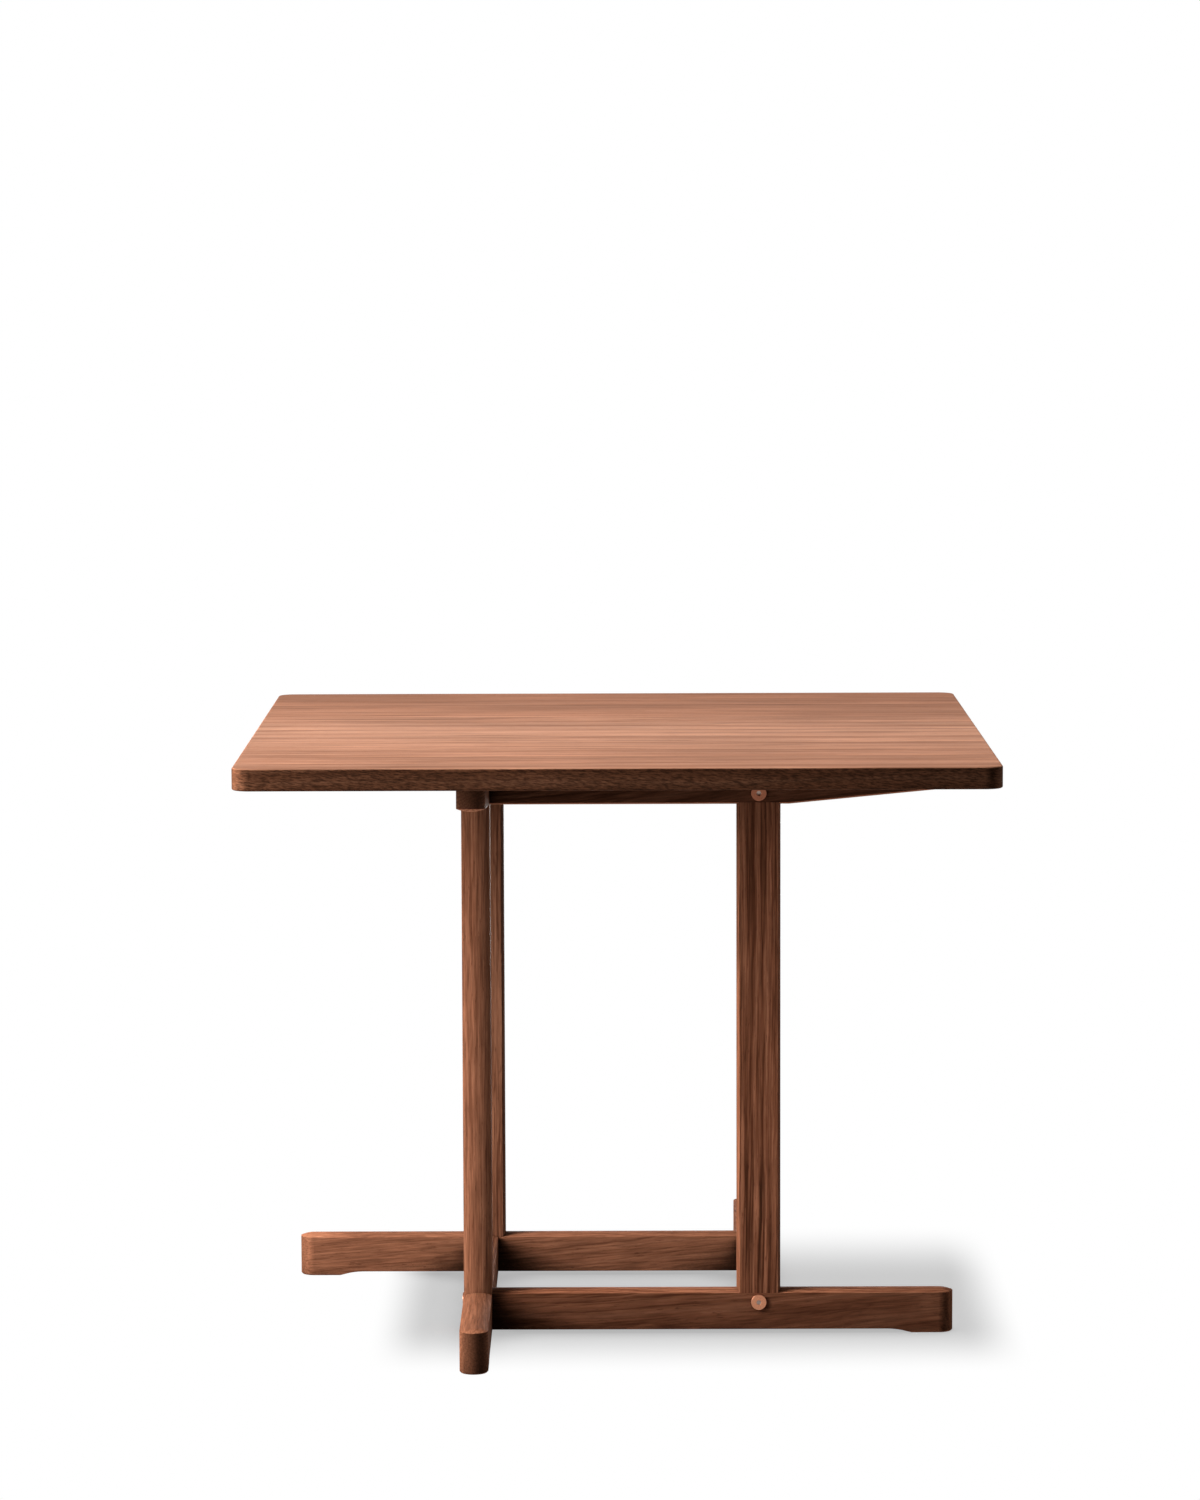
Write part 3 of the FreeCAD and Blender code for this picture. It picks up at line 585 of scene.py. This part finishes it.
def metal(name, tone, rough):
    """Plated or solid metal with fine tool marks."""
    material, tree = new_material(name)
    marks = tree.noise(tree.add("ShaderNodeTexCoord").outputs["Object"], MARK_SPREAD, FINE)
    marked_tone = [MARK_SHADE * channel for channel in tone]
    colour = tree.mix(tree.ramp(marks, *MARK_SPAN), linear(marked_tone), linear(tone))
    relief = tree.add("ShaderNodeBump", Strength=MARK_STRENGTH, Distance=MARK_DEPTH, Height=marks).outputs[0]
    shader = tree.add("ShaderNodeBsdfPrincipled", Base_Color=colour, Metallic=1.0, Normal=relief,
                      Roughness=tree.ramp(marks, *ROUGH_SPAN, rough, rough + ROUGH_STEP))
    tree.finish(shader.outputs[0])
    return material


copper = metal("copper", COPPER_TONE, COPPER_ROUGH)
# Darker copper on the bolts under the top is painted shade
shaded_copper = metal("shaded_copper", SHADED_COPPER_TONE, COPPER_ROUGH)
socket_metal = metal("socket", SOCKET_TONE, SOCKET_ROUGH)
steel = metal("zinc_steel", STEEL_TONE, STEEL_ROUGH)

# Bolts, drawn along their axis from the wood outwards, as radius and height
BOLT_SIDES = 48
BOLT_TURNS = 4
HEAD_RADIUS = 9.0 * MM
HEAD_HEIGHT = 2.0 * MM
RIM_RADIUS = 0.7 * MM
RIM_STEPS = 5
SHANK_RADIUS = 4.0 * MM
SHANK_LENGTH = 70.5 * MM
SHANK_LEAD = 1.0 * MM
RING_COUNT = 4
RING_DEPTH = 0.07 * MM
RING_STEPS = 6
SOCKET_WIDTH = 5.0 * MM
SOCKET_EASE = 0.35 * MM
SOCKET_DEPTH = 2.6 * MM
SOCKET_POINT = 0.9 * MM
SOCKET_SLOT = 1
HEXAGON_TURN = math.radians(60)
SHARP_TURN = math.radians(35)


def hexagon_share(angle):
    """Reach of a hexagon at an angle, for a flat at unit distance."""
    return 1 / math.cos(angle % HEXAGON_TURN - HEXAGON_TURN / 2)


def bolt_profile():
    """Rings of a bolt from the end of its shank into its socket: radius, height, hexagon or not."""
    rings = [
        (SHANK_RADIUS - SHANK_LEAD, -SHANK_LENGTH, False),
        (SHANK_RADIUS, SHANK_LEAD - SHANK_LENGTH, False),
        (SHANK_RADIUS, 0.0, False),
        (HEAD_RADIUS, 0.0, False),
    ]
    for step in range(RIM_STEPS + 1):
        turn = math.pi / 2 * step / RIM_STEPS
        reach = HEAD_RADIUS - RIM_RADIUS + RIM_RADIUS * math.cos(turn)
        rings.append((reach, HEAD_HEIGHT - RIM_RADIUS + RIM_RADIUS * math.sin(turn), False))
    socket = SOCKET_WIDTH / 2
    face_start = HEAD_RADIUS - RIM_RADIUS
    face_end = socket * hexagon_share(0) + SOCKET_EASE
    steps = RING_COUNT * RING_STEPS
    for step in range(1, steps + 1):
        share = step / steps
        groove = RING_DEPTH * (1 - math.cos(math.tau * RING_COUNT * share)) / 2
        rings.append((face_start + (face_end - face_start) * share, HEAD_HEIGHT - groove, False))
    rings.append((socket, HEAD_HEIGHT - SOCKET_EASE, True))
    rings.append((socket, HEAD_HEIGHT - SOCKET_DEPTH, True))
    return rings


def add_bolt(work, place):
    """Add one bolt to a mesh; place takes its axis to where the bolt is."""
    rings = []
    for reach, height, is_hexagon in bolt_profile():
        ring = []
        for side in range(BOLT_SIDES):
            angle = math.tau * side / BOLT_SIDES
            radius = reach * hexagon_share(angle) if is_hexagon else reach
            spot = Vector((radius * math.cos(angle), radius * math.sin(angle), height))
            ring.append(work.verts.new(place @ spot))
        rings.append(ring)
    for lower, upper in zip(rings, rings[1:]):
        for side in range(BOLT_SIDES):
            after = (side + 1) % BOLT_SIDES
            work.faces.new((lower[side], lower[after], upper[after], upper[side]))
    work.faces.new(list(reversed(rings[0])))
    bottom = work.verts.new(place @ Vector((0, 0, HEAD_HEIGHT - SOCKET_DEPTH - SOCKET_POINT)))
    mouth, base = rings[-2:]
    for side in range(BOLT_SIDES):
        after = (side + 1) % BOLT_SIDES
        work.faces.new((base[side], base[after], bottom)).material_index = SOCKET_SLOT
        wall = work.faces.get((mouth[side], mouth[after], base[after], base[side]))
        wall.material_index = SOCKET_SLOT


def make_bolts(node_name, head_metal):
    """Detailed bolts in place of a group of plain ones, one through each post."""
    low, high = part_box(node_name)
    post_low, post_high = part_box("front_post")
    seat = Vector(((post_low.x + post_high.x) / 2, low.y + HEAD_HEIGHT, (low.z + high.z) / 2))
    front = Matrix.Translation(seat) @ Matrix.Rotation(math.pi / 2, 4, "X")
    work = bmesh.new()
    for turn in range(BOLT_TURNS):
        add_bolt(work, Matrix.Rotation(math.tau * turn / BOLT_TURNS, 4, "Z") @ front)
    mesh = bpy.data.meshes.new(f"{node_name}_turned")
    work.to_mesh(mesh)
    work.free()
    mesh.shade_smooth()
    mesh.set_sharp_from_angle(angle=SHARP_TURN)
    mesh.materials.append(head_metal)
    mesh.materials.append(socket_metal)
    bolts = bpy.data.objects.new(f"{node_name}_turned", mesh)
    bpy.context.scene.collection.objects.link(bolts)
    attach(bolts, "root")
    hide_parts(node_name)


make_bolts("runner_bolts", copper)
make_bolts("bearer_bolts", shaded_copper)
for node_name in ("runner_barrel_nuts", "bearer_barrel_nuts", "outer_top_screws", "inner_top_screws"):
    put(node_name, steel)


# Stage: floor, sky, lamps and camera


def floor_material():
    """White all round, and below the table a pale floor that shows its shadow, with painted shade close to
    the feet and the shadow painted out to white round its edges; clear from below.
    """
    material, tree = new_material("pale_floor")
    place = tree.add("ShaderNodeSeparateXYZ", Vector=tree.add("ShaderNodeTexCoord").outputs["Object"])
    # Mask that paints the shadow out to white round its edges
    within = tree.product(
        tree.ramp(place.outputs["X"], *SHADOW_LEFT),
        tree.ramp(place.outputs["X"], *SHADOW_RIGHT),
        tree.ramp(place.outputs["Y"], *SHADOW_FRONT),
        tree.ramp(place.outputs["Y"], *SHADOW_BACK),
    )
    # Painted shade on the floor close to the feet
    contact = tree.add("ShaderNodeAmbientOcclusion", {"samples": SHADE_SAMPLES}, Distance=CONTACT_REACH)
    painted_contact_shade = tree.ramp(contact.outputs["AO"], *CONTACT_OPENNESS, CONTACT_SHADE, 1.0)
    shown = tree.add("ShaderNodeBsdfDiffuse", Color=grey(FLOOR_REFLECTION))
    glow = tree.add("ShaderNodeEmission", Strength=tree.math("MULTIPLY", painted_contact_shade, FLOOR_GLOW))
    shaded = tree.add("ShaderNodeAddShader")
    for socket, part in zip(shaded.inputs, (shown, glow)):
        tree.feed(socket, part.outputs[0])
    white = tree.add("ShaderNodeEmission")
    bright = tree.mix_shaders(within, white.outputs[0], shaded.outputs[0])
    bounce = tree.add("ShaderNodeBsdfDiffuse", Color=grey(FLOOR_BOUNCE))
    above = tree.mix_shaders(seen_directly(tree), bounce.outputs[0], bright)
    from_below = tree.add("ShaderNodeNewGeometry").outputs["Backfacing"]
    clear = tree.add("ShaderNodeBsdfTransparent")
    tree.finish(tree.mix_shaders(from_below, above, clear.outputs[0]))
    return material


def make_floor():
    """Wide level floor just below the feet."""
    mesh = bpy.data.meshes.new("floor")
    half = FLOOR_SIZE / 2
    corners = [(-half, -half), (half, -half), (half, half), (-half, half)]
    mesh.from_pydata([(x, y, -FLOOR_GAP) for x, y in corners], [], [(0, 1, 2, 3)])
    floor = bpy.data.objects.new("floor", mesh)
    bpy.context.scene.collection.objects.link(floor)
    mesh.materials.append(floor_material())
    floor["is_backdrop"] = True


def make_sky():
    """White where it is seen, and a weak even light."""
    world = bpy.data.worlds.new("sky")
    world.use_nodes = True
    bpy.context.scene.world = world
    tree = Tree(world.node_tree)
    strength = tree.ramp(seen_directly(tree), 0.0, 1.0, SKY_SHARE, 1.0)
    sky = tree.add("ShaderNodeBackground", Color=WHITE, Strength=strength)
    tree.finish(sky.outputs[0], "ShaderNodeOutputWorld")


def hang(lamp, place, towards):
    """Put a lamp in the scene; it shines away from where towards points."""
    holder = bpy.data.objects.new(lamp.name, lamp)
    holder.location = place
    holder.rotation_euler = towards.to_track_quat("Z", "Y").to_euler()
    bpy.context.scene.collection.objects.link(holder)
    return holder


def make_sun(name, towards, share, softness):
    """Light that is the same everywhere; towards points to where it comes from."""
    lamp = bpy.data.lights.new(name, "SUN")
    lamp.energy = share * math.pi
    lamp.angle = softness
    return hang(lamp, Vector((0, 0, 0)), towards)


def make_soft_box(name, place, size, share):
    """Square lamp, aimed at the table."""
    towards = place - LAMP_AIM
    lamp = bpy.data.lights.new(name, "AREA")
    lamp.size = size
    lamp.energy = share * math.pi ** 2 * towards.length_squared
    return hang(lamp, place, towards)


def make_lamps():
    """Soft boxes and light thrown back by the floor, on the table alone, and a sun that draws its shadow."""
    lit = bpy.data.collections.new("lit_by_soft_boxes")
    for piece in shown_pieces():
        lit.objects.link(piece)
    for name, (place, size, share) in SOFT_BOXES.items():
        make_soft_box(name, place, size, share).light_linking.receiver_collection = lit
    below = make_sun("below", BELOW_TOWARDS, BELOW_SHARE, BELOW_SOFTNESS).light_linking
    below.receiver_collection = lit
    below.blocker_collection = lit
    make_sun("overhead", OVERHEAD_TOWARDS, OVERHEAD_SHARE, OVERHEAD_SOFTNESS)


def make_camera():
    """Camera where the photograph was taken from."""
    data = bpy.data.cameras.new("camera")
    data.sensor_fit = "VERTICAL"
    data.sensor_height = FILM_HEIGHT
    data.lens = CAMERA_LENS
    data.clip_end = CAMERA_REACH
    camera = bpy.data.objects.new("camera", data)
    turn = Matrix.Rotation(CAMERA_YAW, 4, "Z")
    nod = Matrix.Rotation(math.pi / 2 - CAMERA_PITCH, 4, "X")
    lean = Matrix.Rotation(-CAMERA_ROLL, 4, "Z")
    camera.matrix_world = Matrix.Translation(CAMERA_PLACE) @ turn @ nod @ lean
    bpy.context.scene.collection.objects.link(camera)
    bpy.context.scene.camera = camera


make_floor()
make_sky()
make_lamps()
make_camera()
bpy.context.scene.view_settings.view_transform = "Standard"
